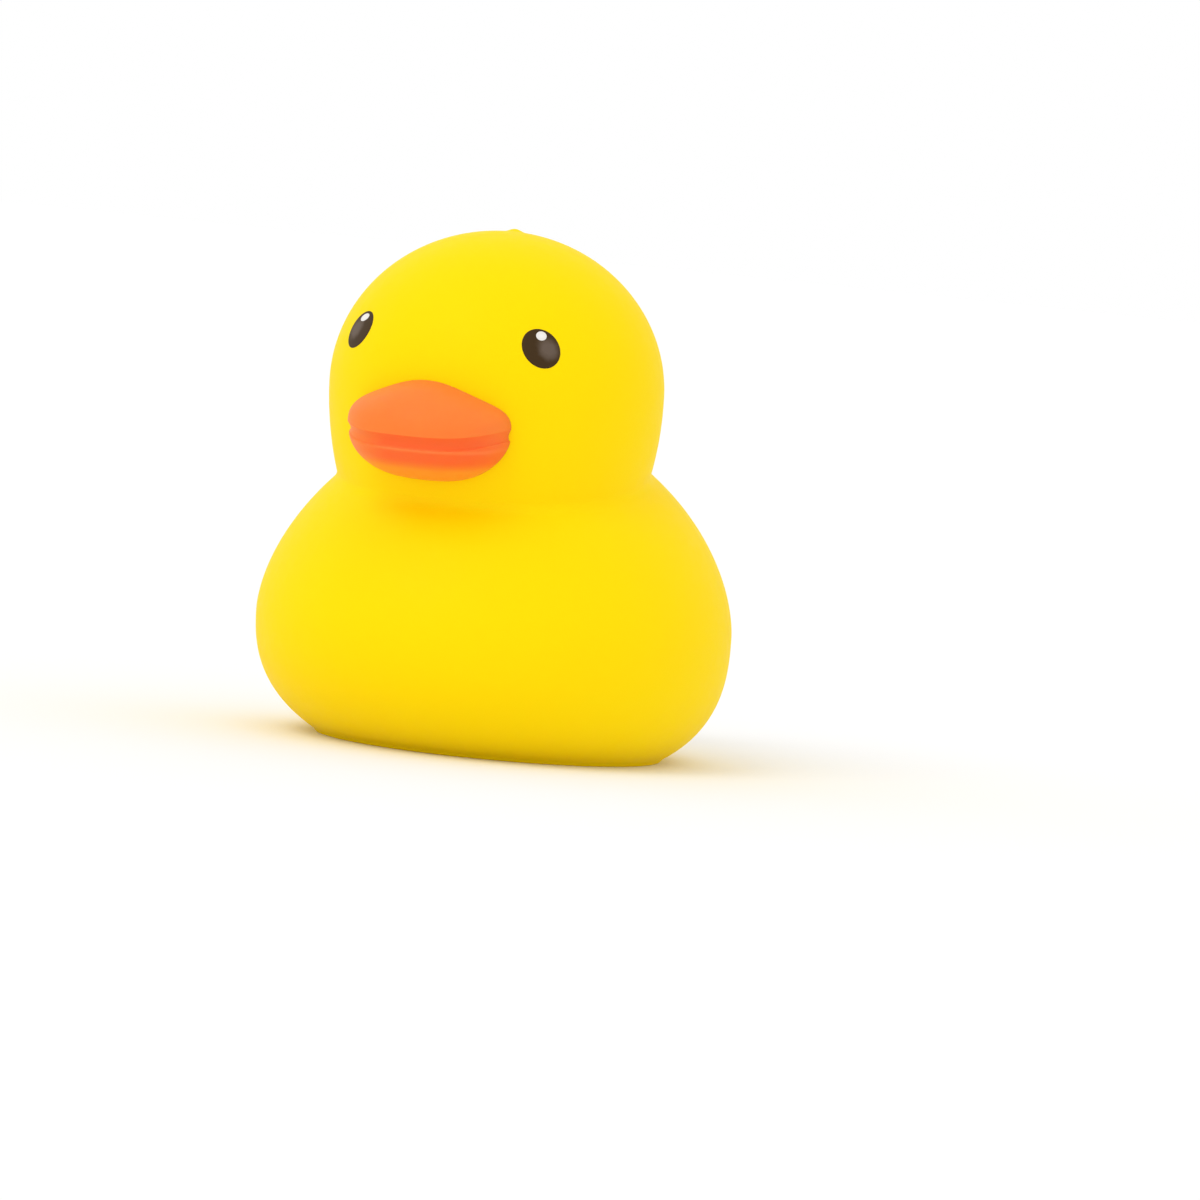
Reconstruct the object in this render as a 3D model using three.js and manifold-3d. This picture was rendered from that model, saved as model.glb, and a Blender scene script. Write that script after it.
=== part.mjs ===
// Squishy duck: one slow-rise foam moulding that stands on a flat base and faces -Y, its left side at +X.
// Sizes are in mm and angles in degrees. Heights are above the base, before the forward lean is put in.
import * as THREE from "three";
import { ParametricGeometry } from "three/addons/geometries/ParametricGeometry.js";
import { mergeVertices } from "three/addons/utils/BufferGeometryUtils.js";
import Module from "manifold-3d";

// Body
const BODY_WIDTH = 116;
const BODY_LENGTH = 124;
const BULGE_HEIGHT = 30.5;
const SHOULDER_RISE = 53.5;
const BELLY_DROP = 38;
const SHOULDER_FULLNESS = 1.75;
const CHEST_FULLNESS = 2.2;
const RUMP_FULLNESS = 2.8;
const BASE_EDGE_ROUND = 0.8;

// Head and neck
const HEAD_DIAMETER = 82;
const HEAD_HEIGHT = 89.5;
const HEAD_FORWARD = 5.5;
const CROWN_RISE = 38.5;
const CHEEK_DROP = 60;
const NECK_ROUND = 2.5;

// Forward lean, which grows from nothing at the base to its full amount at the neck
const LEAN = 6.5;
const LEAN_HEIGHT = 60;
const LEAN_CENTRE_HEIGHT = 30;

// Tail
const TAIL_ROOT_INSET = 2;
const TAIL_ROOT_HEIGHT = 46;
const TAIL_SPREAD = 36;
const TAIL_BACK = 14;
const TAIL_UP = 17;

// Bill, sunk into the front of the head, its levels taken from the head's widest level
const BILL_SINK = 5;
const UPPER_BILL_WIDTH = 40.4;
const UPPER_BILL_REACH = 19.3;
const UPPER_BILL_LEVEL = -5.6;
const UPPER_BILL_RISE = 9;
const UPPER_BILL_RIDGE = 2.9;
const UPPER_CORNER_LIFT = 1.3;
const LOWER_BILL_WIDTH = 40;
const LOWER_BILL_REACH = 18.3;
const LOWER_BILL_LEVEL = -9.1;
const LOWER_BILL_DROP = 9.2;
const LOWER_LIP_RISE = 6;
const LOWER_CORNER_LIFT = 1.9;

// Mouth groove, hollowed out of the upper bill between the two lips, and ending just under the lower lip's skin
const GROOVE_DEPTH = 0.9;
const GROOVE_END_DEPTH = 0.35;
const GROOVE_BURIAL = 0.1;
const GROOVE_BURIAL_DROP = 0.3;
const GROOVE_SHARE = 0.4;

// How full the bill's rounds are: 2 is an oval, more is squarer
const SIDE_FULLNESS = 2.6;
const TIP_FULLNESS = 2.2;
const UPPER_TOP_FULLNESS = 2.3;
const LOWER_LIP_FULLNESS = 1.1;
const CHIN_FULLNESS = 1.65;

// Crown nub left by the mould's vent: the cap of a ball sunk into the head, a little behind its top
const NUB_ROUND = 5;
const NUB_HEIGHT = 0.7;
const NUB_BACK = 9;

// Fineness of the surfaces. The skin's rows crowd towards the crease, and its columns towards the tail
const AROUND = 72;
const BASE_ROWS = 3;
const BODY_ROWS = 22;
const HEAD_ROWS = 20;
const BILL_AROUND = 48;
const BILL_ROWS = 30;
const NUB_AROUND = 24;
const NUB_ROWS = 32;
const TAIL_CROWDING = 0.35;
const CROWDING_BELOW_CREASE = 1.4;
const CROWDING_ABOVE_CREASE = 1.3;
const CREASE_STEPS = 30;
const WELD = 1e-3;

const kernel = await Module();
kernel.setup();
const { Manifold, Mesh } = kernel;

const { lerp, degToRad, clamp } = THREE.MathUtils;
const X_AXIS = new THREE.Vector3(1, 0, 0);
const leanCentre = new THREE.Vector3(0, 0, LEAN_CENTRE_HEIGHT);
const tailRoot = new THREE.Vector3(0, BODY_LENGTH / 2 - TAIL_ROOT_INSET, TAIL_ROOT_HEIGHT);
const tailPull = new THREE.Vector3(0, TAIL_BACK, TAIL_UP);
const billRoot = HEAD_DIAMETER / 2 - BILL_SINK;

// Power that keeps the sign, for the rounded-off ovals of body and bill
function signedPower(value, power) {
  return Math.sign(value) * Math.abs(value) ** power;
}

// Level at a share of the arc between two levels of an oval with its own drop and rise
function arcLevel(middle, drop, rise, low, high, share) {
  const angleAt = (level) => Math.asin(clamp((level - middle) / (level < middle ? drop : rise), -1, 1));
  const angle = lerp(angleAt(low), angleAt(high), share);
  return middle + Math.sin(angle) * (angle < 0 ? drop : rise);
}

// Body's reach from the head's axis: an oval section that closes towards the shoulders and the belly
function bodyReach(turn, level) {
  const above = level > BULGE_HEIGHT;
  const rump = 0.5 - 0.5 * Math.cos(turn);
  const fullness = above ? SHOULDER_FULLNESS : lerp(CHEST_FULLNESS, RUMP_FULLNESS, rump);
  const depth = Math.abs(level - BULGE_HEIGHT) / (above ? SHOULDER_RISE : BELLY_DROP);
  const size = Math.max(1 - depth ** fullness, 0) ** (1 / fullness);
  const wide = Math.sin(turn) / (BODY_WIDTH / 2);
  const long = Math.cos(turn) / (BODY_LENGTH / 2);
  const shift = HEAD_FORWARD / (BODY_LENGTH / 2);
  const square = wide ** 2 + long ** 2;
  const half = shift * long;
  const root = half ** 2 - square * (shift ** 2 - size ** 2);
  return root > 0 ? Math.max((Math.sqrt(root) - half) / square, 0) : 0;
}

// Head's reach from its axis: a dome above its widest level, long cheeks below it
function headReach(level) {
  const height = (level - HEAD_HEIGHT) / (level > HEAD_HEIGHT ? CROWN_RISE : CHEEK_DROP);
  return (HEAD_DIAMETER / 2) * Math.sqrt(Math.max(1 - height ** 2, 0));
}

// Level of the neck crease, where shoulders and cheeks reach equally far
function creaseLevel(turn) {
  let low = BULGE_HEIGHT;
  let high = HEAD_HEIGHT;
  for (let step = 0; step < CREASE_STEPS; step += 1) {
    const level = (low + high) / 2;
    if (bodyReach(turn, level) > headReach(level)) {
      low = level;
    } else {
      high = level;
    }
  }
  return low;
}

// Larger of two reaches, with the corner between them filled by the neck's round
function filletedReach(first, second) {
  const near = Math.max(NECK_ROUND - Math.abs(first - second), 0) / NECK_ROUND;
  return Math.max(first, second) + near ** 2 * NECK_ROUND / 4;
}

// Tip a point forward, fully from the neck up
function leanForward(point) {
  const share = clamp(point.z / LEAN_HEIGHT, 0, 1);
  point.sub(leanCentre).applyAxisAngle(X_AXIS, degToRad(LEAN) * share).add(leanCentre);
}

// Draw the rump out and up into the tail
function pullTail(point) {
  const far = Math.min(point.distanceTo(tailRoot) / TAIL_SPREAD, 1);
  point.addScaledVector(tailPull, (1 - far ** 2) ** 3);
}

// Skin of body, neck, head and tail: rows from the base's middle out, up to the crease and on to the crown
function skinPoint(u, v, point) {
  const row = Math.round(v * (BASE_ROWS + BODY_ROWS + HEAD_ROWS));
  const turn = 2 * Math.PI * u + TAIL_CROWDING * Math.sin(2 * Math.PI * u);
  const crease = creaseLevel(turn);
  const crown = HEAD_HEIGHT + CROWN_RISE;
  const bodyShare = (row - BASE_ROWS) / BODY_ROWS;
  const headShare = bodyShare > 1 ? (row - BASE_ROWS - BODY_ROWS) / HEAD_ROWS : 0;
  let level = 0;
  let reach = (bodyReach(turn, BASE_EDGE_ROUND) - BASE_EDGE_ROUND) * row / BASE_ROWS;
  if (headShare > 0) {
    level = arcLevel(HEAD_HEIGHT, CHEEK_DROP, CROWN_RISE, crease, crown, headShare ** CROWDING_ABOVE_CREASE);
  } else if (bodyShare > 0) {
    const eased = 1 - (1 - bodyShare) ** CROWDING_BELOW_CREASE;
    level = arcLevel(BULGE_HEIGHT, BELLY_DROP, SHOULDER_RISE, BASE_EDGE_ROUND, crease, eased);
  }
  if (level > 0) {
    reach = filletedReach(bodyReach(turn, level), headReach(level));
  }
  if (headShare === 1) {
    reach = 0;
  }
  point.set(reach * Math.sin(turn), -HEAD_FORWARD - reach * Math.cos(turn), level);
  if (level > 0) {
    pullTail(point);
    leanForward(point);
  }
}

// Set a point on the bill, which starts inside the head and leans with it
function setOnBill(point, across, ahead, level) {
  point.set(across, -HEAD_FORWARD - billRoot - ahead, HEAD_HEIGHT + level);
  leanForward(point);
}

// Upper bill: a dome with a ridge along its middle, the mouth groove hollowed out below its lip
function upperBillPoint(u, v, point) {
  const turn = 2 * Math.PI * u;
  const tilt = Math.PI * (v - 0.5);
  const size = tilt > 0 ? Math.cos(tilt) : 1;
  const across = signedPower(size * Math.sin(turn), 2 / SIDE_FULLNESS);
  const ahead = signedPower(size * Math.cos(turn), 2 / TIP_FULLNESS);
  const row = Math.max(1 - 2 * v, 0);
  const under = Math.min(row / GROOVE_SHARE, 1);
  const open = 1 - Math.max(row - GROOVE_SHARE, 0) / (1 - GROOVE_SHARE);
  const hollow = Math.sin(Math.PI * under);
  const halfWidth = lerp(UPPER_BILL_WIDTH, LOWER_BILL_WIDTH, under) / 2;
  const wide = halfWidth - GROOVE_BURIAL * under - GROOVE_END_DEPTH * hollow;
  const fullReach = lerp(UPPER_BILL_REACH, LOWER_BILL_REACH, under);
  const reach = fullReach - GROOVE_BURIAL * under - GROOVE_DEPTH * hollow;
  const tall = UPPER_BILL_RISE + UPPER_BILL_RIDGE * (1 - across ** 2) ** 3;
  const dome = tilt > 0 ? tall * Math.sin(tilt) ** (2 / UPPER_TOP_FULLNESS) : 0;
  const lift = lerp(UPPER_CORNER_LIFT, LOWER_CORNER_LIFT, under) * (across * open) ** 4;
  const level = lerp(UPPER_BILL_LEVEL, LOWER_BILL_LEVEL - GROOVE_BURIAL_DROP, under) + lift + dome;
  setOnBill(point, across * wide * open, ahead * reach * open, level);
}

// Lower bill: a lip that slopes back into the groove, over a full chin
function lowerBillPoint(u, v, point) {
  const turn = 2 * Math.PI * u;
  const tilt = Math.PI * (v - 0.5);
  const size = Math.max(Math.cos(tilt), 0);
  const across = signedPower(size * Math.sin(turn), 2 / SIDE_FULLNESS);
  const ahead = signedPower(size * Math.cos(turn), 2 / TIP_FULLNESS);
  const tall = tilt > 0 ? LOWER_LIP_RISE : LOWER_BILL_DROP;
  const height = tall * signedPower(Math.sin(tilt), 2 / (tilt > 0 ? LOWER_LIP_FULLNESS : CHIN_FULLNESS));
  const level = LOWER_BILL_LEVEL + LOWER_CORNER_LIFT * across ** 4 + height;
  setOnBill(point, across * LOWER_BILL_WIDTH / 2, ahead * LOWER_BILL_REACH, level);
}

// Closed solid from a surface, its seam and poles welded
function toSolid(geometry) {
  geometry.deleteAttribute("normal");
  geometry.deleteAttribute("uv");
  const welded = mergeVertices(geometry, WELD);
  const corners = welded.index.array;
  const kept = [];
  for (let i = 0; i < corners.length; i += 3) {
    const [a, b, c] = corners.slice(i, i + 3);
    if (a !== b && b !== c && c !== a) {
      kept.push(a, b, c);
    }
  }
  const vertProperties = new Float32Array(welded.getAttribute("position").array);
  return new Manifold(new Mesh({ numProp: 3, vertProperties, triVerts: new Uint32Array(kept) }));
}

// Drawable geometry from a solid
function toGeometry(solid) {
  const { vertProperties, triVerts } = solid.getMesh();
  const geometry = new THREE.BufferGeometry();
  geometry.setAttribute("position", new THREE.BufferAttribute(vertProperties, 3));
  geometry.setIndex(new THREE.BufferAttribute(triVerts, 1));
  geometry.computeVertexNormals();
  return geometry;
}

// Crown nub: most of the ball is inside the head
function crownNub() {
  const back = degToRad(NUB_BACK);
  const behind = HEAD_DIAMETER / 2 * Math.sin(back) - HEAD_FORWARD;
  const height = HEAD_HEIGHT + CROWN_RISE * Math.cos(back) + NUB_HEIGHT - NUB_ROUND;
  const middle = new THREE.Vector3(0, behind, height);
  leanForward(middle);
  const ball = new THREE.SphereGeometry(NUB_ROUND, NUB_AROUND, NUB_ROWS);
  ball.rotateX(Math.PI / 2);
  ball.translate(middle.x, middle.y, middle.z);
  return toSolid(ball);
}

const skin = toSolid(new ParametricGeometry(skinPoint, AROUND, BASE_ROWS + BODY_ROWS + HEAD_ROWS));
const upperBill = toSolid(new ParametricGeometry(upperBillPoint, BILL_AROUND, BILL_ROWS));
const lowerBill = toSolid(new ParametricGeometry(lowerBillPoint, BILL_AROUND, BILL_ROWS));
const moulding = skin.add(upperBill).add(lowerBill).add(crownNub());

const foam = new THREE.MeshStandardMaterial({ color: 0xfedc1e, roughness: 0.5, metalness: 0 });
const foamDuck = new THREE.Mesh(toGeometry(moulding), foam);
foamDuck.name = "foam_duck";

const duck = new THREE.Group();
duck.name = "squishy_duck";
duck.add(foamDuck);
export default duck;
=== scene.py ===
"""Looks of the squishy duck: a slow-rise foam moulding with a satin skin, a painted bill and printed eyes."""
import functools
import math
import bmesh
import bpy
from mathutils import Matrix, Quaternion, Vector


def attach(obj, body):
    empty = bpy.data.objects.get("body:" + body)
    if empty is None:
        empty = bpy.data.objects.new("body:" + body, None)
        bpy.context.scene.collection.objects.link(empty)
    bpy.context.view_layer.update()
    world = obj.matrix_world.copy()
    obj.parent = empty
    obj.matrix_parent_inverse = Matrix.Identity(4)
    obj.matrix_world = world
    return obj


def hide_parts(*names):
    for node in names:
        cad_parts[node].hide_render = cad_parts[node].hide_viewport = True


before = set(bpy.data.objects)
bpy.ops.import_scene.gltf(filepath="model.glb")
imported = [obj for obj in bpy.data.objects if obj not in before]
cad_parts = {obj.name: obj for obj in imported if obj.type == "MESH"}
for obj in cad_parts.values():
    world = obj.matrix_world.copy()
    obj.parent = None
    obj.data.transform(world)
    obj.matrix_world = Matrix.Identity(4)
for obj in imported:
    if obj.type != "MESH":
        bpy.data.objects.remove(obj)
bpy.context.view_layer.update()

MM = 0.001

# Body of the moulding, in mm. Heights are above the base, before the forward lean is put in
BODY_WIDTH = 116
BODY_LENGTH = 124
BULGE_HEIGHT = 30.5
SHOULDER_RISE = 53.5
BELLY_DROP = 38
SHOULDER_FULLNESS = 1.75
CHEST_FULLNESS = 2.2
RUMP_FULLNESS = 2.8
BASE_EDGE_ROUND = 0.8

# Head and neck
HEAD_DIAMETER = 82
HEAD_HEIGHT = 89.5
HEAD_FORWARD = 5.5
CROWN_RISE = 38.5
CHEEK_DROP = 60
NECK_ROUND = 2.5

# Forward lean, which grows from nothing at the base to its full amount at the neck
LEAN = math.radians(6.5)
LEAN_HEIGHT = 60
LEAN_CENTRE = Vector((0, 0, 30))

# Tail, pulled out of the rump
TAIL_ROOT = Vector((0, BODY_LENGTH / 2 - 2, 46))
TAIL_PULL = Vector((0, 14, 17))
TAIL_SPREAD = 36
TAIL_FALL_OFF = 3

# Bill, sunk into the front of the head, its levels taken from the head's widest level
BILL_SINK = 5
UPPER_BILL = dict(width=40.4, reach=19.3, side=2.6, tip=2.2)
UPPER_BILL_LEVEL = -5.6
UPPER_BILL_RISE = 9
UPPER_BILL_FULLNESS = 2.3
RIDGE_RISE = 2.9
RIDGE_FALL_OFF = 3
LOWER_BILL = dict(width=40, reach=17.9, side=2.6, tip=2.2)
LOWER_BILL_LEVEL = -9.1
LOWER_BILL_DROP = 9.2
LOWER_BILL_FULLNESS = 1.65
LOWER_LIP_RISE = 4
LOWER_LIP_FULLNESS = 1.4
LIP_BEAD = 0.5
LIP_BEAD_HALF_HEIGHT = 0.7

# Corners of the mouth: how far they turn up, and how late on the way out from the middle
UPPER_CORNER_LIFT = 1.3
LOWER_CORNER_LIFT = 1.9
CORNER_POWER = 4

# Mouth groove, hollowed out of the upper bill between the two lips.
# Its wall ends just under the lower lip's skin
GROOVE_DEPTH = 0.9
GROOVE_END_DEPTH = 0.35
GROOVE_BURIAL = 0.15
GROOVE_BURIAL_DROP = 0.3
GROOVE_SHARE = 0.4

# Crown nub left by the mould's vent
NUB_HEIGHT = 0.7
NUB_REACH = 2.6
NUB_FALL_OFF = 2
NUB_BACK = math.radians(9)
NUB_PLACE = Vector((
    0,
    HEAD_DIAMETER / 2 * math.sin(NUB_BACK) - HEAD_FORWARD,
    HEAD_HEIGHT + CROWN_RISE * math.cos(NUB_BACK),
))

# Printed eyes on the head, and the glint inside each: places, half widths and heights, leans,
# and how far the ink stands out of the skin and reaches into it
EYE_TURN = math.radians(39.7)
EYE_RISE = math.radians(23)
EYE_HALF_SIZE = (4.57, 5.21)
EYE_LEAN = math.radians(36)
GLINT_PLACE = (0.25, 3.15)
GLINT_HALF_SIZE = {"left": (1.32, 1.19), "right": (1.8, 1.03)}
GLINT_LEAN = {"left": 0, "right": math.radians(-20)}
EYE_LIFT = 0.05
GLINT_LIFT = 0.1
INK_DEPTH = 0.25
INK_EDGE_POWER = 0.25

# Fineness of the meshes. The skin's rows are shared out between base, base edge, body and head
SKIN_COLUMNS = 240
SKIN_ROWS = 240
BASE_SHARE = 0.06
EDGE_SHARE = 0.085
CREASE_SHARE = 0.5
CROWN_SHARE = 0.88
CROWN_REACH = 12
TAIL_CROWDING = 0.35
CROWDING_BELOW_CREASE = 1.4
CROWDING_ABOVE_CREASE = 1.3
CREASE_STEPS = 40
LOBE_COLUMNS = 160
LOBE_ROWS = 80
INK_COLUMNS = 96
INK_ROWS = 32
SHARP_ANGLE = math.radians(38)

# Least distance from a ball's axis, so that its poles have a direction too
POLE_REACH = 1e-9

# Foam: its two yellows, and the sizes in mm of what is seen on it.
# Pores are 0.2 mm on the real skin, and drawn at 0.5 mm so that they show
FOAM_COLOURS = ("#ffd800", "#ffdc00")
PIGMENT_CLOUD = 38
MOULD_PEEL = 2.6
MOULD_PEEL_DEPTH = 0.08
FOAM_PORE = 0.5
FOAM_PORE_DEPTH = 0.03
FOAM_LIGHT_DEPTH = 5

# Bill paint: the even coat, with a painted shade in the mouth groove, a painted bounce light under the chin and
# a painted highlight on the lip's crest, and the sizes in mm of what is seen on it.
# Spray droplets are 0.1 mm, and drawn at 0.7 mm so that they show
COAT_COLOURS = ("#f87c2f", "#fa8334")
# Painted yellow bounce light under the chin, painted shade in the mouth groove, painted highlight on the lower
# lip's crest
CHIN_BOUNCE_LIGHT_COLOUR = "#ff952c"
PAINTED_GROOVE_SHADE_COLOUR = "#fd6a2c"
PAINTED_CREST_HIGHLIGHT_COLOUR = "#ff7e3e"
SPRAY_PASS = 7
SPRAY_GRAIN = 0.7
SPRAY_GRAIN_DEPTH = 0.04
COAT_LIGHT_DEPTH = 3

# Levels, in mm, on the head's own upright axis, of the lips and of the painted bounce light under the chin,
# the place and half widths of the painted shade in the mouth groove, and the half height of the painted
# highlight on the crest
LEAN_DROP = LEAN_CENTRE.z * (1 - math.cos(LEAN))
LIP_EDGE_LEVEL = HEAD_HEIGHT + UPPER_BILL_LEVEL - LEAN_DROP
LIP_CREST_LEVEL = HEAD_HEIGHT + LOWER_BILL_LEVEL - LEAN_DROP
CHIN_BOUNCE_LIGHT_END_LEVEL = LIP_CREST_LEVEL - 2.3
CHIN_BOUNCE_LIGHT_FULL_LEVEL = LIP_CREST_LEVEL - 5.6
GROOVE_SHADE_PLACE = 6
GROOVE_SHADE_HALF_WIDTH = 9
GROOVE_SHADE_FADE_HALF_WIDTH = 20
CREST_HALF_HEIGHT = 0.8

# Eye inks: colours at the rim and in the paler middle, which is a painted sheen, the sheen's place, and
# roughness.
# Places and shares are counted in half sizes of the spot
EYE_INK = dict(rim="#3f2c13", middle="#635448", sheen_place=(0.35, 0, 0), roughness=0.5)
GLINT_INK = dict(rim="#e6e1dc", middle="#ece8e4", sheen_place=(0, 0, 0), roughness=0.45)
INK_RIM_SHARE = 0.85
INK_SHEEN_SHARE = 0.35
INK_UNEVENNESS = 0.25
INK_CLOUD = 1.6
INK_CLOUD_DEPTH = 0.03

# Most of a noise lies in this span
NOISE_LOW = 0.3
NOISE_HIGH = 0.7

# Colour sockets of a Mix node, whose names are shared with its other kinds of socket
MIX_FIRST = 6
MIX_SECOND = 7
MIX_RESULT = 2

# Light: an even white room, and a weak soft sun from above and in front that shades the shape
ROOM_LEVEL = 1
KEY_FROM = Vector((-0.2, -0.65, 0.73))
KEY_SPREAD = 30
KEY_LEVEL = 0.16
FLOOR_COLOUR = "#f5f5f5"
FLOOR_HALF_SIZE = 9000

# Camera: the point it aims at and its distance in mm, its angles in degrees, and the photograph's framing
AIM = Vector((0, 0, 65))
VIEW_DISTANCE = 1800
VIEW_AZIMUTH = 23.67
VIEW_ELEVATION = 2.5
VIEW_ROLL = 5.5
FRAME_PIXELS = 1200
PIXELS_PER_MM = 4.06
AIM_PIXEL = (507.74, 483.64)
SENSOR_WIDTH = 36
FARTHEST_SEEN = 100000


def lerp(first, second, share):
    return first + (second - first) * share


def signed_power(value, power):
    """Power that keeps the sign, for the rounded-off ovals of the bill."""
    return math.copysign(abs(value) ** power, value)


def swelling(distance, spread, fall_off):
    """Soft swelling: 1 in its middle, falling to nothing at its spread."""
    far = min(distance / spread, 1)
    return (1 - far ** 2) ** fall_off


def arc_level(middle, drop, rise, low, high, share):
    """Level at a share of the arc between two levels of an oval with its own drop and rise."""
    ends = [(level - middle) / (drop if level < middle else rise) for level in (low, high)]
    angle = lerp(*(math.asin(max(-1, min(1, end))) for end in ends), share)
    return middle + math.sin(angle) * (drop if angle < 0 else rise)


def body_reach(turn, level):
    """Body's reach from the head's axis: an oval section that closes towards the shoulders and the belly."""
    above = level > BULGE_HEIGHT
    rump = 0.5 - 0.5 * math.cos(turn)
    fullness = SHOULDER_FULLNESS if above else lerp(CHEST_FULLNESS, RUMP_FULLNESS, rump)
    depth = abs(level - BULGE_HEIGHT) / (SHOULDER_RISE if above else BELLY_DROP)
    size = max(1 - depth ** fullness, 0) ** (1 / fullness)
    wide = math.sin(turn) / (BODY_WIDTH / 2)
    long = math.cos(turn) / (BODY_LENGTH / 2)
    shift = HEAD_FORWARD / (BODY_LENGTH / 2)
    square = wide ** 2 + long ** 2
    half = shift * long
    root = half ** 2 - square * (shift ** 2 - size ** 2)
    return max((math.sqrt(root) - half) / square, 0) if root > 0 else 0


def head_reach(level):
    """Head's reach from its axis: a dome above its widest level, long cheeks below it."""
    height = (level - HEAD_HEIGHT) / (CROWN_RISE if level > HEAD_HEIGHT else CHEEK_DROP)
    return HEAD_DIAMETER / 2 * math.sqrt(max(1 - height ** 2, 0))


def crown_level(reach):
    """Level of the crown at a reach from the head's axis."""
    return HEAD_HEIGHT + CROWN_RISE * math.sqrt(1 - (2 * reach / HEAD_DIAMETER) ** 2)


@functools.lru_cache(maxsize=None)
def crease_level(turn):
    """Level of the neck crease, where shoulders and cheeks reach equally far."""
    low, high = BULGE_HEIGHT, HEAD_HEIGHT
    for _ in range(CREASE_STEPS):
        level = (low + high) / 2
        if body_reach(turn, level) > head_reach(level):
            low = level
        else:
            high = level
    return low


def filleted_reach(turn, level):
    """Larger of the body's and the head's reach, with the corner between them filled by the neck's round."""
    body = body_reach(turn, level)
    head = head_reach(level)
    near = max(NECK_ROUND - abs(body - head), 0) / NECK_ROUND
    return max(body, head) + near ** 2 * NECK_ROUND / 4


def lean_forward(point):
    """Tip a point forward, fully from the neck up."""
    share = max(0, min(1, point.z / LEAN_HEIGHT))
    return LEAN_CENTRE + Matrix.Rotation(LEAN * share, 3, "X") @ (point - LEAN_CENTRE)


def pull_tail(point):
    """Draw the rump out and up into the tail."""
    share = swelling((point - TAIL_ROOT).length, TAIL_SPREAD, TAIL_FALL_OFF)
    return point + TAIL_PULL * share


def raise_nub(point):
    """Lift the crown into the low nub."""
    share = swelling((point - NUB_PLACE).length, NUB_REACH, NUB_FALL_OFF)
    return point + Vector((0, 0, NUB_HEIGHT)) * share


def skin_point(turn, share):
    """Point of the skin, in mm. Share runs from the base's middle out, up to the crease and on to the crown."""
    base_reach = body_reach(turn, BASE_EDGE_ROUND)
    crease = crease_level(turn)
    if share <= BASE_SHARE:
        level = 0
        reach = (base_reach - BASE_EDGE_ROUND) * share / BASE_SHARE
    elif share <= EDGE_SHARE:
        along = (share - BASE_SHARE) / (EDGE_SHARE - BASE_SHARE)
        level = BASE_EDGE_ROUND * along ** 2
        reach = base_reach - BASE_EDGE_ROUND * (1 - along)
    elif share <= CREASE_SHARE:
        along = (share - EDGE_SHARE) / (CREASE_SHARE - EDGE_SHARE)
        eased = 1 - (1 - along) ** CROWDING_BELOW_CREASE
        level = arc_level(BULGE_HEIGHT, BELLY_DROP, SHOULDER_RISE, BASE_EDGE_ROUND, crease, eased)
        reach = filleted_reach(turn, level)
    elif share <= CROWN_SHARE:
        along = (share - CREASE_SHARE) / (CROWN_SHARE - CREASE_SHARE)
        eased = along ** CROWDING_ABOVE_CREASE
        level = arc_level(HEAD_HEIGHT, CHEEK_DROP, CROWN_RISE, crease, crown_level(CROWN_REACH), eased)
        reach = filleted_reach(turn, level)
    else:
        reach = CROWN_REACH * (1 - share) / (1 - CROWN_SHARE)
        level = crown_level(reach)
    point = Vector((reach * math.sin(turn), -HEAD_FORWARD - reach * math.cos(turn), level))
    return lean_forward(raise_nub(pull_tail(point))) if level > 0 else point


def bill_point(across, ahead, level):
    """Point of the bill, in mm: the bill starts inside the head, points to -Y and leans with the head."""
    root = -HEAD_FORWARD - HEAD_DIAMETER / 2 + BILL_SINK
    return lean_forward(Vector((across, root - ahead, HEAD_HEIGHT + level)))


def upper_bill_point(ball):
    """Point of the upper bill, in mm, from one of a unit ball.
    The ball's upper half becomes the ridged dome.
    Its lower half becomes the wall of the mouth groove and the floor hidden in the lower bill."""
    flat = max(math.hypot(ball.x, ball.y), POLE_REACH)
    size = flat if ball.z > 0 else 1
    across = signed_power(ball.x / flat * size, 2 / UPPER_BILL["side"])
    ahead = signed_power(-ball.y / flat * size, 2 / UPPER_BILL["tip"])
    row = math.asin(max(0, min(1, -ball.z))) / (math.pi / 2)
    under = min(row / GROOVE_SHARE, 1)
    open_share = 1 - max(row - GROOVE_SHARE, 0) / (1 - GROOVE_SHARE)
    hollow = math.sin(math.pi * under)
    wall_end_wide = LOWER_BILL["width"] / 2 - GROOVE_BURIAL
    wide = lerp(UPPER_BILL["width"] / 2, wall_end_wide, under) - GROOVE_END_DEPTH * hollow
    wall_end_reach = LOWER_BILL["reach"] + LIP_BEAD * (1 - across ** CORNER_POWER) - GROOVE_BURIAL
    reach = lerp(UPPER_BILL["reach"], wall_end_reach, under) - GROOVE_DEPTH * hollow
    tall = UPPER_BILL_RISE + RIDGE_RISE * (1 - across ** 2) ** RIDGE_FALL_OFF
    dome = tall * max(ball.z, 0) ** (2 / UPPER_BILL_FULLNESS)
    lift = lerp(UPPER_CORNER_LIFT, LOWER_CORNER_LIFT, under) * (across * open_share) ** CORNER_POWER
    level = lerp(UPPER_BILL_LEVEL, LOWER_BILL_LEVEL - GROOVE_BURIAL_DROP, under) + lift + dome
    return bill_point(across * wide * open_share, ahead * reach * open_share, level)


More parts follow.
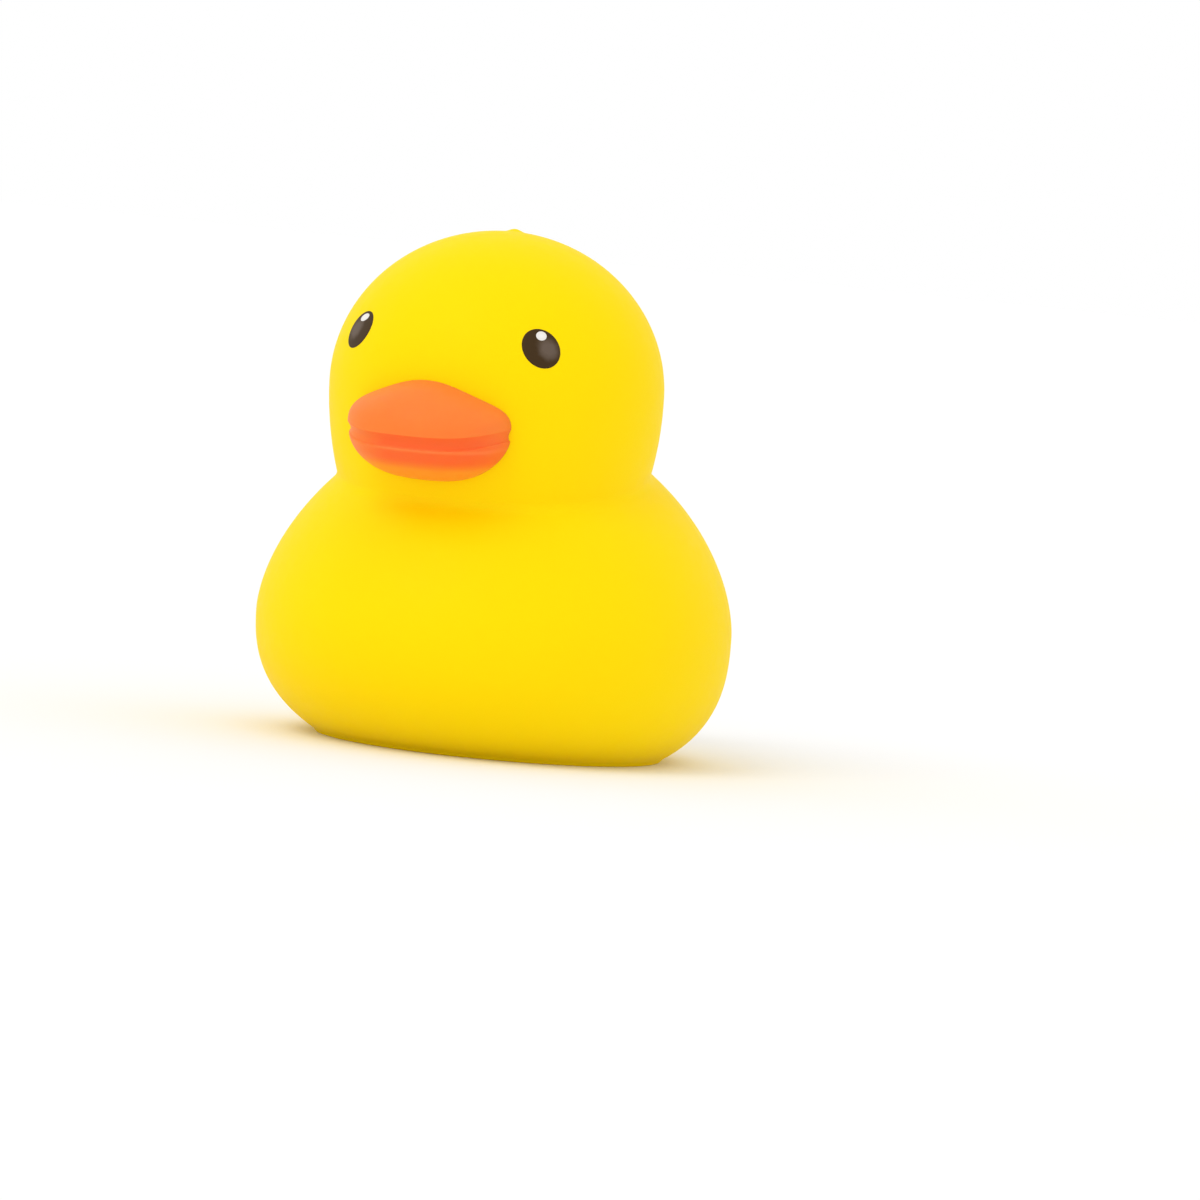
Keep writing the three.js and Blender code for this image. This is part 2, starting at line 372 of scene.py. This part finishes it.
def lower_bill_point(ball):
    """Point of the lower bill, in mm, from one of a unit ball.
    The ball's upper half becomes the lip that slopes back into the groove, its lower half the full chin."""
    across = signed_power(ball.x, 2 / LOWER_BILL["side"])
    ahead = signed_power(-ball.y, 2 / LOWER_BILL["tip"])
    corner = across ** CORNER_POWER
    lip = LOWER_LIP_RISE * max(ball.z, 0) ** (2 / LOWER_LIP_FULLNESS)
    chin = LOWER_BILL_DROP * max(-ball.z, 0) ** (2 / LOWER_BILL_FULLNESS)
    bead = LIP_BEAD * (1 - corner) * math.exp(-((lip + chin) / LIP_BEAD_HALF_HEIGHT) ** 2)
    level = LOWER_BILL_LEVEL + LOWER_CORNER_LIFT * corner + lip - chin
    return bill_point(across * LOWER_BILL["width"] / 2, ahead * (LOWER_BILL["reach"] + bead), level)


def finished_piece(name, bm, material):
    """Object at the origin from a bmesh in mm, its faces smooth and pointing out."""
    bmesh.ops.scale(bm, vec=(MM, MM, MM), verts=bm.verts)
    bmesh.ops.recalc_face_normals(bm, faces=bm.faces)
    for face in bm.faces:
        face.smooth = True
    mesh = bpy.data.meshes.new(name)
    bm.to_mesh(mesh)
    bm.free()
    mesh.materials.append(material)
    piece = bpy.data.objects.new(name, mesh)
    bpy.context.scene.collection.objects.link(piece)
    return piece


def foam_skin(material):
    """Body, neck, head and tail: a ball whose rows and columns are drawn onto the duck."""
    bm = bmesh.new()
    bmesh.ops.create_uvsphere(bm, u_segments=SKIN_COLUMNS, v_segments=SKIN_ROWS, radius=1)
    for vert in bm.verts:
        ball = vert.co.normalized()
        row = round(math.acos(max(-1, min(1, -ball.z))) / math.pi * SKIN_ROWS)
        column = round(math.atan2(ball.x, -ball.y) / math.tau * SKIN_COLUMNS)
        angle = math.tau * column / SKIN_COLUMNS
        vert.co = skin_point(angle + TAIL_CROWDING * math.sin(angle), row / SKIN_ROWS)
    return finished_piece("duck_moulding", bm, material)


def bill_lobe(name, place, material):
    """One lobe of the bill, its root inside the head and its columns half a step off the middle."""
    bm = bmesh.new()
    bmesh.ops.create_uvsphere(bm, u_segments=LOBE_COLUMNS, v_segments=LOBE_ROWS, radius=1)
    bmesh.ops.rotate(bm, matrix=Matrix.Rotation(math.pi / LOBE_COLUMNS, 3, "Z"), verts=bm.verts)
    for vert in bm.verts:
        vert.co = place(vert.co.normalized())
    return finished_piece(name, bm, material)


def joined(piece, other):
    """One closed mesh from two lobes that run into each other."""
    join = piece.modifiers.new("join", "BOOLEAN")
    join.operation = "UNION"
    join.solver = "EXACT"
    join.object = other
    seen = piece.evaluated_get(bpy.context.evaluated_depsgraph_get())
    mesh = bpy.data.meshes.new_from_object(seen)
    piece.modifiers.clear()
    piece.data = mesh
    bpy.data.objects.remove(other)
    return piece


def on_head(side, across, up, lift):
    """Point over the head's skin, in mm, from its offset to the middle of the eye on that side."""
    radii = Vector((HEAD_DIAMETER / 2, HEAD_DIAMETER / 2, CROWN_RISE))
    middle = Vector((
        radii.x * math.cos(EYE_RISE) * math.sin(EYE_TURN),
        -radii.y * math.cos(EYE_RISE) * math.cos(EYE_TURN),
        radii.z * math.sin(EYE_RISE),
    ))
    outward = Vector(part / radius ** 2 for part, radius in zip(middle, radii)).normalized()
    aside = Vector((0, 0, 1)).cross(outward).normalized()
    upward = outward.cross(aside)
    point = middle + aside * across + upward * up
    point /= Vector(part / radius for part, radius in zip(point, radii)).length
    point += Vector(part / radius ** 2 for part, radius in zip(point, radii)).normalized() * lift
    point.x *= side
    return lean_forward(point + Vector((0, -HEAD_FORWARD, HEAD_HEIGHT)))


def ink_spot(name, side, place, half_size, lean, lift, material):
    """Thin oval film of ink on the head: a ball pressed flat against the skin.
    The attribute spot holds each point's place as a share of the spot, for the ink's shading."""
    leaned = Matrix.Rotation(lean, 3, "Z")
    bm = bmesh.new()
    bmesh.ops.create_uvsphere(bm, u_segments=INK_COLUMNS, v_segments=INK_ROWS, radius=1)
    bmesh.ops.rotate(bm, matrix=Matrix.Rotation(-lean, 3, "Z"), verts=bm.verts)
    spot = bm.verts.layers.float_vector.new("spot")
    for vert in bm.verts:
        vert[spot] = leaned @ Vector((vert.co.x, vert.co.y, 0))
    bmesh.ops.scale(bm, vec=(*half_size, 1), verts=bm.verts)
    bmesh.ops.rotate(bm, matrix=leaned, verts=bm.verts)
    for vert in bm.verts:
        height = lift * vert.co.z ** INK_EDGE_POWER if vert.co.z > 0 else INK_DEPTH * vert.co.z
        vert.co = on_head(side, place[0] + vert.co.x, place[1] + vert.co.y, height)
    return finished_piece(name, bm, material)


def linear(hex_colour):
    """Linear RGBA of an sRGB hex colour."""
    channels = [int(hex_colour[i:i + 2], 16) / 255 for i in (1, 3, 5)]
    return [c / 12.92 if c <= 0.04045 else ((c + 0.055) / 1.055) ** 2.4 for c in channels] + [1]


def node(tree, kind, inputs=None, **settings):
    """Adds a node with its settings, and sets or links its inputs."""
    made = tree.nodes.new(kind)
    for name, value in settings.items():
        setattr(made, name, value)
    for key, value in (inputs or {}).items():
        if isinstance(value, bpy.types.NodeSocket):
            tree.links.new(value, made.inputs[key])
        else:
            made.inputs[key].default_value = value
    return made


def new_material(name):
    """Empty node material and its tree."""
    material = bpy.data.materials.new(name)
    material.use_nodes = True
    material.node_tree.nodes.clear()
    return material, material.node_tree


def per_metre(size_mm):
    """Pattern scale for features of a size in mm, on coordinates in metres."""
    return 1 / (size_mm * MM)


def slow_rise_foam():
    """Slow-rise polyurethane foam, moulded with its own smooth skin: satin, a little light passing in.
    The skin has a faint orange peel from the mould, fine pores, and a colour that drifts slightly."""
    material, tree = new_material("yellow_slow_rise_pu_foam")
    place = node(tree, "ShaderNodeTexCoord").outputs["Object"]
    drift = node(tree, "ShaderNodeTexNoise", {
        "Vector": place,
        "Scale": per_metre(PIGMENT_CLOUD),
        "Detail": 2,
    })
    colour = node(tree, "ShaderNodeMix", {
        "Factor": drift.outputs["Fac"],
        MIX_FIRST: linear(FOAM_COLOURS[0]),
        MIX_SECOND: linear(FOAM_COLOURS[1]),
    }, data_type="RGBA")
    pores = node(tree, "ShaderNodeTexNoise", {
        "Vector": place,
        "Scale": per_metre(FOAM_PORE),
        "Detail": 2,
    })
    peel = node(tree, "ShaderNodeTexNoise", {
        "Vector": place,
        "Scale": per_metre(MOULD_PEEL),
        "Detail": 3,
    })
    fine = node(tree, "ShaderNodeBump", {
        "Height": pores.outputs["Fac"],
        "Strength": 0.25,
        "Distance": FOAM_PORE_DEPTH * MM,
    })
    relief = node(tree, "ShaderNodeBump", {
        "Height": peel.outputs["Fac"],
        "Strength": 0.3,
        "Distance": MOULD_PEEL_DEPTH * MM,
        "Normal": fine.outputs["Normal"],
    })
    gloss = node(tree, "ShaderNodeMapRange", {
        "Value": peel.outputs["Fac"],
        "From Min": NOISE_LOW,
        "From Max": NOISE_HIGH,
        "To Min": 0.48,
        "To Max": 0.56,
    })
    skin = node(tree, "ShaderNodeBsdfPrincipled", {
        "Base Color": colour.outputs[MIX_RESULT],
        "Roughness": gloss.outputs["Result"],
        "Normal": relief.outputs["Normal"],
        "IOR": 1.45,
        "Specular IOR Level": 0.06,
        "Subsurface Weight": 0.1,
        "Subsurface Radius": (1, 0.45, 0.1),
        "Subsurface Scale": FOAM_LIGHT_DEPTH * MM,
    })
    node(tree, "ShaderNodeOutputMaterial", {"Surface": skin.outputs["BSDF"]})
    return material


def bill_paint():
    """Flexible polyurethane paint, sprayed on the foam through a mask: satin, even, with a fine spray grain.
    It has a redder painted shade in the mouth groove, a yellower painted bounce light under the chin, and a
    paler painted highlight on the lip's crest."""
    material, tree = new_material("orange_flexible_pu_paint")
    place = node(tree, "ShaderNodeTexCoord").outputs["Object"]
    coat = node(tree, "ShaderNodeTexNoise", {
        "Vector": place,
        "Scale": per_metre(SPRAY_PASS),
        "Detail": 3,
    })
    even = node(tree, "ShaderNodeMix", {
        "Factor": coat.outputs["Fac"],
        MIX_FIRST: linear(COAT_COLOURS[0]),
        MIX_SECOND: linear(COAT_COLOURS[1]),
    }, data_type="RGBA")
    upright = node(tree, "ShaderNodeMapping", {
        "Vector": place,
        "Rotation": (-LEAN, 0, 0),
    }, vector_type="POINT")
    axes = node(tree, "ShaderNodeSeparateXYZ", {"Vector": upright.outputs["Vector"]}).outputs

    # Painted yellow bounce light under the chin, fading out towards the lip
    above_chin_light = node(tree, "ShaderNodeMapRange", {
        "Value": axes["Z"],
        "From Min": CHIN_BOUNCE_LIGHT_FULL_LEVEL * MM,
        "From Max": CHIN_BOUNCE_LIGHT_END_LEVEL * MM,
    }, interpolation_type="SMOOTHSTEP").outputs["Result"]
    chin = node(tree, "ShaderNodeMix", {
        "Factor": above_chin_light,
        MIX_FIRST: linear(CHIN_BOUNCE_LIGHT_COLOUR),
        MIX_SECOND: even.outputs[MIX_RESULT],
    }, data_type="RGBA")

    # Painted shade in the middle of the mouth groove, below the upper lip's edge, which turns up at the
    # corners; its middle is set off to one side
    offset = node(tree, "ShaderNodeMath", {0: axes["X"], 1: GROOVE_SHADE_PLACE * MM}, operation="SUBTRACT")
    aside = node(tree, "ShaderNodeMath", {0: offset.outputs["Value"]}, operation="ABSOLUTE")
    middle = node(tree, "ShaderNodeMapRange", {
        "Value": aside.outputs["Value"],
        "From Min": GROOVE_SHADE_FADE_HALF_WIDTH * MM,
        "From Max": GROOVE_SHADE_HALF_WIDTH * MM,
    }, interpolation_type="SMOOTHSTEP").outputs["Result"]
    share = node(tree, "ShaderNodeMath", {0: axes["X"], 1: UPPER_BILL["width"] / 2 * MM}, operation="DIVIDE")
    corner = node(tree, "ShaderNodeMath", {0: share.outputs["Value"], 1: CORNER_POWER}, operation="POWER")
    edge = node(tree, "ShaderNodeMath", {
        0: corner.outputs["Value"],
        1: UPPER_CORNER_LIFT * MM,
        2: LIP_EDGE_LEVEL * MM,
    }, operation="MULTIPLY_ADD")
    under = node(tree, "ShaderNodeMath", {0: axes["Z"], 1: edge.outputs["Value"]}, operation="LESS_THAN")
    below = node(tree, "ShaderNodeMath", {0: above_chin_light, 1: under.outputs["Value"]}, operation="MULTIPLY")
    groove_shade = node(tree, "ShaderNodeMath", {0: below.outputs["Value"], 1: middle}, operation="MULTIPLY")
    mouth = node(tree, "ShaderNodeMix", {
        "Factor": groove_shade.outputs["Value"],
        MIX_FIRST: chin.outputs[MIX_RESULT],
        MIX_SECOND: linear(PAINTED_GROOVE_SHADE_COLOUR),
    }, data_type="RGBA")

    # Painted highlight on the crest of the lower lip
    off_crest = node(tree, "ShaderNodeMath", {0: axes["Z"], 1: LIP_CREST_LEVEL * MM}, operation="SUBTRACT")
    away = node(tree, "ShaderNodeMath", {0: off_crest.outputs["Value"]}, operation="ABSOLUTE")
    crest = node(tree, "ShaderNodeMapRange", {
        "Value": away.outputs["Value"],
        "From Min": CREST_HALF_HEIGHT * MM,
        "From Max": 0,
    }, interpolation_type="SMOOTHSTEP")
    crest_highlight = node(tree, "ShaderNodeMath", {0: crest.outputs["Result"], 1: middle}, operation="MULTIPLY")
    colour = node(tree, "ShaderNodeMix", {
        "Factor": crest_highlight.outputs["Value"],
        MIX_FIRST: mouth.outputs[MIX_RESULT],
        MIX_SECOND: linear(PAINTED_CREST_HIGHLIGHT_COLOUR),
    }, data_type="RGBA")

    grain = node(tree, "ShaderNodeTexNoise", {
        "Vector": place,
        "Scale": per_metre(SPRAY_GRAIN),
        "Detail": 2,
    })
    relief = node(tree, "ShaderNodeBump", {
        "Height": grain.outputs["Fac"],
        "Strength": 0.3,
        "Distance": SPRAY_GRAIN_DEPTH * MM,
    })
    gloss = node(tree, "ShaderNodeMapRange", {
        "Value": coat.outputs["Fac"],
        "From Min": NOISE_LOW,
        "From Max": NOISE_HIGH,
        "To Min": 0.48,
        "To Max": 0.58,
    })
    paint = node(tree, "ShaderNodeBsdfPrincipled", {
        "Base Color": colour.outputs[MIX_RESULT],
        "Roughness": gloss.outputs["Result"],
        "Normal": relief.outputs["Normal"],
        "IOR": 1.48,
        "Specular IOR Level": 0.2,
        "Subsurface Weight": 0.5,
        "Subsurface Radius": (1, 0.25, 0.1),
        "Subsurface Scale": COAT_LIGHT_DEPTH * MM,
    })
    node(tree, "ShaderNodeOutputMaterial", {"Surface": paint.outputs["BSDF"]})
    return material


def pad_print_ink(name, rim, middle, sheen_place, roughness):
    """Pad-printing ink: a thin satin film, laid a little unevenly, and paler round one place in the spot as a
    painted sheen.
    """
    material, tree = new_material(name)
    place = node(tree, "ShaderNodeTexCoord").outputs["Object"]
    film = node(tree, "ShaderNodeTexNoise", {
        "Vector": place,
        "Scale": per_metre(INK_CLOUD),
        "Detail": 3,
    })
    spot = node(tree, "ShaderNodeAttribute", attribute_name="spot")
    # Painted sheen: the ink is paler near the sheen's place and darker towards the rim
    away = node(tree, "ShaderNodeVectorMath", {
        0: spot.outputs["Vector"],
        1: sheen_place,
    }, operation="DISTANCE")
    uneven = node(tree, "ShaderNodeMath", {
        0: film.outputs["Fac"],
        1: INK_UNEVENNESS,
        2: away.outputs["Value"],
    }, operation="MULTIPLY_ADD")
    fade = node(tree, "ShaderNodeMapRange", {
        "Value": uneven.outputs["Value"],
        "From Min": INK_RIM_SHARE,
        "From Max": INK_SHEEN_SHARE,
    }, interpolation_type="SMOOTHSTEP")
    colour = node(tree, "ShaderNodeMix", {
        "Factor": fade.outputs["Result"],
        MIX_FIRST: linear(rim),
        MIX_SECOND: linear(middle),
    }, data_type="RGBA")
    relief = node(tree, "ShaderNodeBump", {
        "Height": film.outputs["Fac"],
        "Strength": 0.2,
        "Distance": INK_CLOUD_DEPTH * MM,
    })
    ink = node(tree, "ShaderNodeBsdfPrincipled", {
        "Base Color": colour.outputs[MIX_RESULT],
        "Roughness": roughness,
        "Normal": relief.outputs["Normal"],
        "IOR": 1.45,
        "Specular IOR Level": 0.15,
    })
    node(tree, "ShaderNodeOutputMaterial", {"Surface": ink.outputs["BSDF"]})
    return material


def duck():
    """The moulding, its painted bill and its printed eyes, each riding on the one body."""
    foam = slow_rise_foam()
    paint = bill_paint()
    moulding = foam_skin(foam)
    upper_bill = bill_lobe("painted_bill", upper_bill_point, paint)
    lower_bill = bill_lobe("lower_bill", lower_bill_point, paint)
    bill = joined(upper_bill, lower_bill)
    for piece, slot in ((moulding, "yellow_foam"), (bill, "bill_paint")):
        piece.data.set_sharp_from_angle(angle=SHARP_ANGLE)
        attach(piece, "root")
        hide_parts("foam_duck")

    eye_ink = pad_print_ink("brown_black_pad_print_ink", **EYE_INK)
    glint_ink = pad_print_ink("white_pad_print_ink", **GLINT_INK)
    for label, side in (("left", 1), ("right", -1)):
        eye = ink_spot(f"eye_{label}", side, (0, 0), EYE_HALF_SIZE, EYE_LEAN, EYE_LIFT, eye_ink)
        half_size, lean = GLINT_HALF_SIZE[label], GLINT_LEAN[label]
        glint = ink_spot(f"glint_{label}", side, GLINT_PLACE, half_size, lean, GLINT_LIFT, glint_ink)
        for piece, slot in ((eye, "eye_paint"), (glint, "glint_paint")):
            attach(piece, "root")


def studio():
    """White floor, an even white room, and a soft sun from above and in front."""
    material, tree = new_material("matt_white_floor")
    paper = node(tree, "ShaderNodeBsdfDiffuse", {"Color": linear(FLOOR_COLOUR)})
    node(tree, "ShaderNodeOutputMaterial", {"Surface": paper.outputs["BSDF"]})
    bm = bmesh.new()
    bmesh.ops.create_grid(bm, x_segments=1, y_segments=1, size=FLOOR_HALF_SIZE)
    floor = finished_piece("floor", bm, material)

    sun = bpy.data.lights.new("key_sun", "SUN")
    sun.energy = KEY_LEVEL * math.pi
    sun.angle = math.radians(KEY_SPREAD)
    lamp = bpy.data.objects.new("key_sun", sun)
    lamp.rotation_euler = KEY_FROM.to_track_quat("Z", "Y").to_euler()
    bpy.context.scene.collection.objects.link(lamp)

    world = bpy.data.worlds.new("white_room")
    bpy.context.scene.world = world
    world.use_nodes = True
    tree = world.node_tree
    tree.nodes.clear()
    room = node(tree, "ShaderNodeBackground", {"Color": (1, 1, 1, 1), "Strength": ROOM_LEVEL})
    node(tree, "ShaderNodeOutputWorld", {"Surface": room.outputs["Background"]})


def camera():
    """Camera on the photograph's line of sight, with its tilt and framing."""
    azimuth = math.radians(VIEW_AZIMUTH)
    elevation = math.radians(VIEW_ELEVATION)
    back = Vector((
        math.sin(azimuth) * math.cos(elevation),
        -math.cos(azimuth) * math.cos(elevation),
        math.sin(elevation),
    ))
    data = bpy.data.cameras.new("photo_camera")
    data.sensor_width = SENSOR_WIDTH
    data.lens = SENSOR_WIDTH * VIEW_DISTANCE * PIXELS_PER_MM / FRAME_PIXELS
    data.shift_x = 0.5 - AIM_PIXEL[0] / FRAME_PIXELS
    data.shift_y = AIM_PIXEL[1] / FRAME_PIXELS - 0.5
    data.clip_end = FARTHEST_SEEN * MM
    viewer = bpy.data.objects.new("photo_camera", data)
    viewer.location = (AIM + back * VIEW_DISTANCE) * MM
    turned = back.to_track_quat("Z", "Y") @ Quaternion((0, 0, 1), math.radians(VIEW_ROLL))
    viewer.rotation_euler = turned.to_euler()
    bpy.context.scene.collection.objects.link(viewer)
    bpy.context.scene.camera = viewer


duck()
studio()
camera()
bpy.context.scene.view_settings.view_transform = "Standard"
